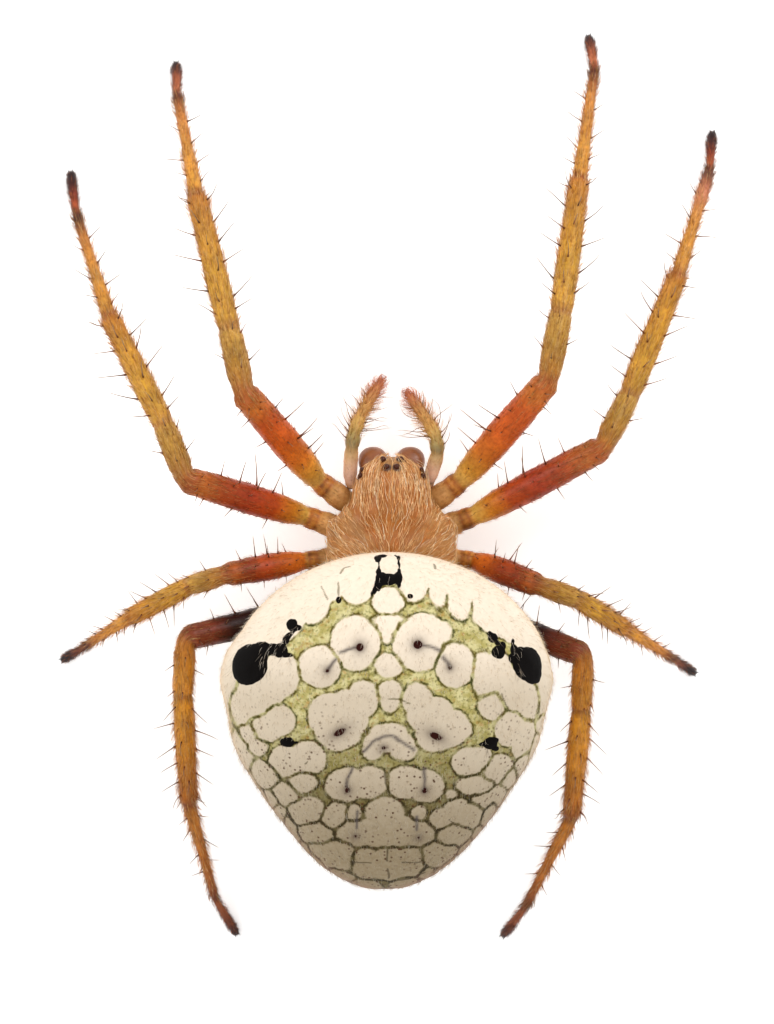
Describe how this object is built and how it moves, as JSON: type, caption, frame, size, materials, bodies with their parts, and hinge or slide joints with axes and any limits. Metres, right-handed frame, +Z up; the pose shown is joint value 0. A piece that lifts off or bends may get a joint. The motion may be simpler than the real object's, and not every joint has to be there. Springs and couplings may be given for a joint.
{
  "type": "orb weaver spider",
  "caption": "Life-size still model of an adult female orb weaver spider with a broad patterned abdomen, standing on its feet.",
  "frame": {"origin": "on the floor, under the middle of the outline seen from above", "axes": "+Z up from the floor, -Y towards the head, +Y to the abdomen's rear, +X to the spider's left"},
  "size_m": [0.0213, 0.0292, 0.0089],
  "materials": {
    "abdomen_skin": "soft skin with a cream and olive net, black blotches and fine hairs",
    "spinneret_skin": "brown wrinkled skin",
    "epigyne_shell": "dark brown glossy shell",
    "carapace_shell": "orange-brown shell under pale hairs",
    "sternum_shell": "dark brown shell",
    "mouth_shell": "brown shell with pale edges",
    "chelicera_shell": "glossy red-brown shell",
    "fang_shell": "black glossy shell",
    "eye_lens": "black glossy lens",
    "pedicel_skin": "brown skin",
    "palp_shell": "yellow-brown shell with hairs",
    "coxa_shell": "brown-ochre shell",
    "front_femur_shell": "orange-red satin shell",
    "rear_femur_shell": "red-brown satin shell",
    "tibia_shell": "golden ochre shell with hairs",
    "tarsus_shell": "ochre to dark brown shell with hairs"
  },
  "bodies": {
    "root": {"abdomen": "abdomen_skin", "carapace": "carapace_shell", "chelicera_left": "chelicera_shell", "chelicera_right": "chelicera_shell", "epigyne": "epigyne_shell", "eye_front_middle_left": "eye_lens", "eye_front_middle_right": "eye_lens", "eye_front_side_left": "eye_lens", "eye_front_side_right": "eye_lens", "eye_rear_middle_left": "eye_lens", "eye_rear_middle_right": "eye_lens", "eye_rear_side_left": "eye_lens", "eye_rear_side_right": "eye_lens", "fang_left": "fang_shell", "fang_right": "fang_shell", "labium": "mouth_shell", "leg_1_left_coxa": "coxa_shell", "leg_1_left_femur": "front_femur_shell", "leg_1_left_tarsus": "tarsus_shell", "leg_1_left_tibia": "tibia_shell", "leg_1_right_coxa": "coxa_shell", "leg_1_right_femur": "front_femur_shell", "leg_1_right_tarsus": "tarsus_shell", "leg_1_right_tibia": "tibia_shell", "leg_2_left_coxa": "coxa_shell", "leg_2_left_femur": "front_femur_shell", "leg_2_left_tarsus": "tarsus_shell", "leg_2_left_tibia": "tibia_shell", "leg_2_right_coxa": "coxa_shell", "leg_2_right_femur": "front_femur_shell", "leg_2_right_tarsus": "tarsus_shell", "leg_2_right_tibia": "tibia_shell", "leg_3_left_coxa": "coxa_shell", "leg_3_left_femur": "rear_femur_shell", "leg_3_left_tarsus": "tarsus_shell", "leg_3_left_tibia": "tibia_shell", "leg_3_right_coxa": "coxa_shell", "leg_3_right_femur": "rear_femur_shell", "leg_3_right_tarsus": "tarsus_shell", "leg_3_right_tibia": "tibia_shell", "leg_4_left_coxa": "coxa_shell", "leg_4_left_femur": "rear_femur_shell", "leg_4_left_tarsus": "tarsus_shell", "leg_4_left_tibia": "tibia_shell", "leg_4_right_coxa": "coxa_shell", "leg_4_right_femur": "rear_femur_shell", "leg_4_right_tarsus": "tarsus_shell", "leg_4_right_tibia": "tibia_shell", "maxilla_left": "mouth_shell", "maxilla_right": "mouth_shell", "palp_left": "palp_shell", "palp_right": "palp_shell", "pedicel": "pedicel_skin", "spinnerets": "spinneret_skin", "sternum": "sternum_shell"}
  },
  "joints": []
}
